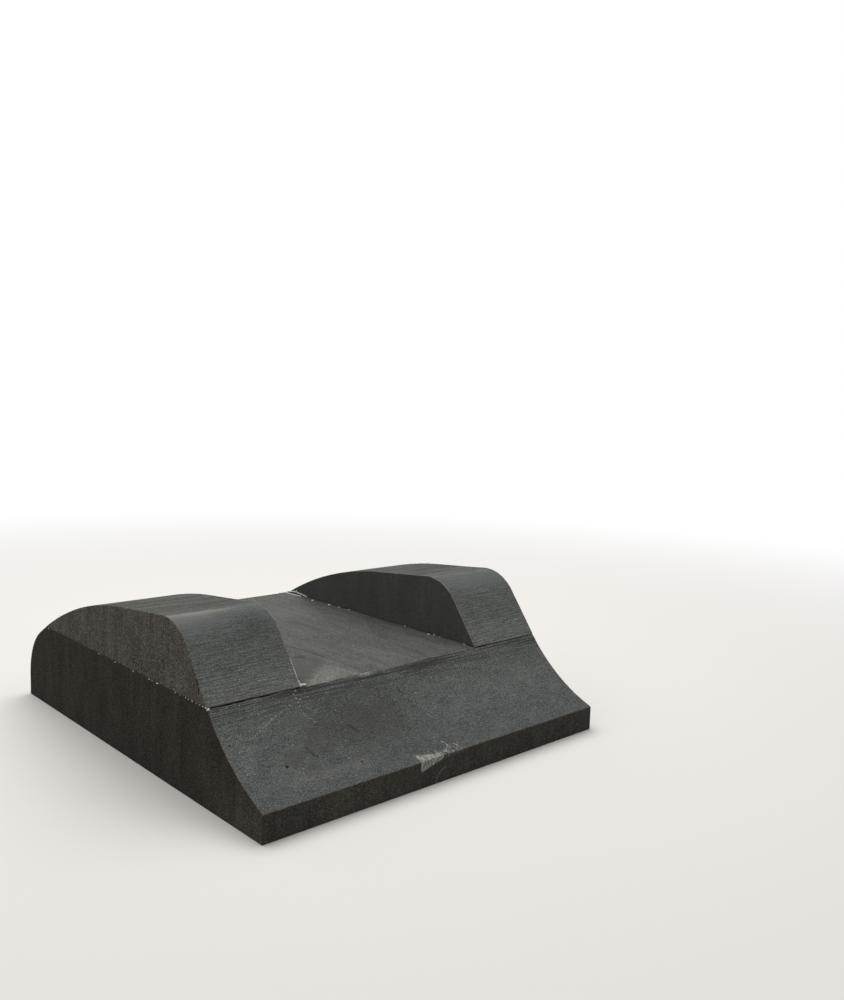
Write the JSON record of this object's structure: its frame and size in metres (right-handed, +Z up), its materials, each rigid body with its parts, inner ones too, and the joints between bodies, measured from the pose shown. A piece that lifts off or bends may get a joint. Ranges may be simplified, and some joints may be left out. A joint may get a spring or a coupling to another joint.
{
  "type": "foam block",
  "caption": "Seat-shaped block of dark closed-cell foam: side bolsters with a flat channel between them, a hollow front slope and a rounded back; padding or a rest.",
  "frame": {"origin": "middle of the underside", "axes": "+X across the block towards its right side, +Y from the front edge to the back wall, +Z up"},
  "size_m": [0.332, 0.38, 0.121],
  "materials": {
    "slab_foam": "closed-cell foam, saw-cut sides and slopes, moulded sheet skin on top and underneath",
    "bolster_foam": "closed-cell foam, saw-cut all round",
    "dried_glue": "pale contact glue, dried in beads and specks along the seams"
  },
  "bodies": {
    "root": {"base_slab": "slab_foam", "left_bolster": "bolster_foam", "right_bolster": "bolster_foam"}
  },
  "joints": []
}
